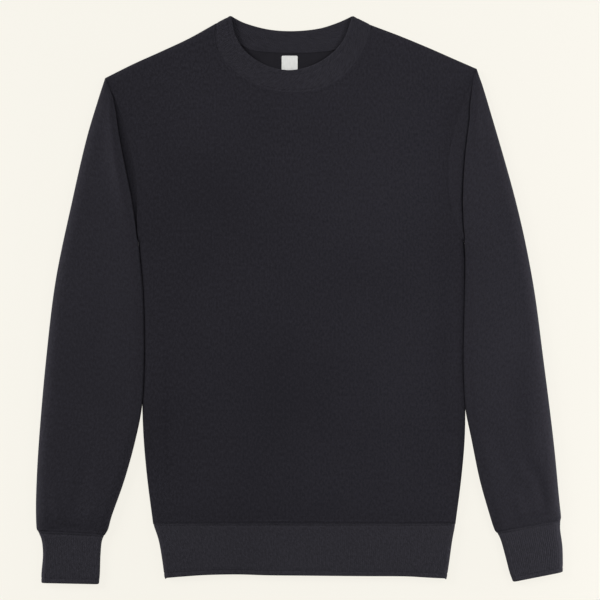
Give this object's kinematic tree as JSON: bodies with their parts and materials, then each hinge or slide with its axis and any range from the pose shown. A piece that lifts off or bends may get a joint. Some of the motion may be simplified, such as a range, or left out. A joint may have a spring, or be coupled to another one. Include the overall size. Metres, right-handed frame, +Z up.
{
  "type": "crewneck sweatshirt",
  "caption": "Long-sleeved crewneck sweatshirt of brushed fleece with rib neckband, hem band and cuffs, laid flat on its back with its sleeves beside the body",
  "frame": {"origin": "on the surface the sweatshirt lies on, below the middle of its outline", "axes": "+Y from hem to neck, +X towards the wearer's left sleeve, +Z up out of the front"},
  "size_m": [0.6609, 0.7116, 0.0092],
  "materials": {
    "fleece": "matt brushed fleece, near-black charcoal",
    "rib": "matt rib knit, near-black charcoal",
    "label": "smooth white tape, blank"
  },
  "bodies": {
    "root": {"front": "fleece", "back": "fleece", "sleeve_right": "fleece", "sleeve_left": "fleece", "cuff_right": "rib", "cuff_left": "rib", "hem_band": "rib", "neckband": "rib", "neck_label": "label"}
  },
  "joints": []
}
